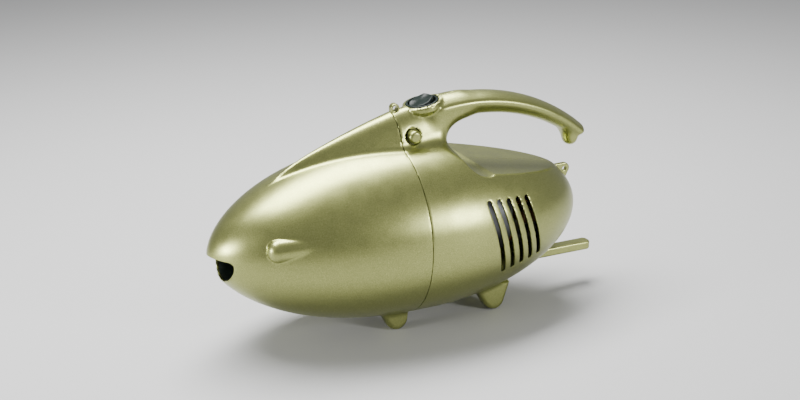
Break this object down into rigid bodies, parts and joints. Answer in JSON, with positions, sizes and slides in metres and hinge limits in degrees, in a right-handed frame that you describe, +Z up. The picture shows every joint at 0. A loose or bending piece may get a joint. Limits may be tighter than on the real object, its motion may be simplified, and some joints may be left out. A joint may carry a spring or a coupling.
{
  "type": "handheld vacuum cleaner",
  "caption": "Torpedo-shaped hand-held vacuum cleaner with a suction mouth, removable dust cup, filter, motor and fan, rocker switch, open-ended handle, feet and a cord-wrap bar.",
  "frame": {"origin": "on the floor under the middle of the object's length, in its middle plane", "axes": "+X from the nose to the tail, +Y to the object's right, +Z up"},
  "size_m": [0.3578, 0.148, 0.1955],
  "materials": {
    "gold_shell": "satin metallic champagne-gold paint with fine flake",
    "black_plastic": "moulded, low gloss",
    "filter_plastic": "moulded, matte",
    "filter_cloth": "woven cotton",
    "rubber": "matte",
    "flap_rubber": "matte",
    "steel": "bright",
    "fan_alloy": "pressed, satin",
    "iron_laminations": "stacked sheet",
    "copper_wire": "enamelled wire",
    "brass": "bright",
    "carbon": "pressed carbon",
    "insulation": "phenolic",
    "capacitor_case": "moulded",
    "lead_insulation": "soft PVC"
  },
  "bodies": {
    "housing": {"filter_frame": "filter_plastic", "filter_cage": "filter_plastic", "filter_bag": "filter_cloth", "bulkhead": "black_plastic", "motor_front_seal": "rubber", "housing_left": "gold_shell", "housing_right": "gold_shell", "housing_screws": "steel", "tail_bar": "gold_shell", "front_strap_lug": "gold_shell", "rear_strap_lug": "gold_shell", "cord_gland": "rubber", "switch_body": "black_plastic", "rocker_pin": "steel", "switch_terminals": "brass", "power_leads": "lead_insulation", "button_spring": "steel", "fan_housing": "fan_alloy", "diffuser": "black_plastic", "front_bearing": "steel", "rear_bearing": "steel", "stator_core": "iron_laminations", "field_coils": "copper_wire", "front_bracket": "fan_alloy", "rear_bracket": "fan_alloy", "motor_bolts": "steel", "brush_holders": "insulation", "carbon_brushes": "carbon", "brush_springs": "steel", "rear_motor_mount": "rubber", "capacitor": "capacitor_case"},
    "dust_cup": {"dust_cup": "gold_shell", "inlet_duct": "black_plastic", "flap_pin": "steel", "cup_seal": "rubber"},
    "inlet_flap": {"inlet_flap": "flap_rubber"},
    "switch_rocker": {"switch_rocker": "black_plastic"},
    "release_button": {"release_button": "gold_shell", "latch_arm": "black_plastic"},
    "rotor": {"motor_shaft": "steel", "impeller": "fan_alloy", "impeller_nut": "steel", "impeller_spacer": "steel", "armature_core": "iron_laminations", "armature_windings": "copper_wire", "commutator": "copper_wire"}
  },
  "joints": [
    {"name": "cup_slide", "type": "slide", "parent": "housing", "child": "dust_cup", "axis": [-1, 0, 0], "range_m": [0, 0.12]},
    {"name": "flap_swing", "type": "hinge", "parent": "dust_cup", "child": "inlet_flap", "pos_m": [-0.109, 0, 0.0915], "axis": [0, -1, 0], "range_deg": [0, 60]},
    {"name": "switch_rock", "type": "hinge", "parent": "housing", "child": "switch_rocker", "pos_m": [0.00956, 0, 0.18585], "axis": [0, 1, 0], "range_deg": [0, 24]},
    {"name": "button_push", "type": "slide", "parent": "housing", "child": "release_button", "axis": [0, 1, 0], "range_m": [0, 0.004], "stiffness_N_per_m": 600, "springref_m": -0.002, "deforming": ["button_spring"]},
    {"name": "rotor_spin", "type": "hinge", "parent": "housing", "child": "rotor", "pos_m": [0.06, 0, 0.0845], "axis": [1, 0, 0], "continuous": true}
  ]
}
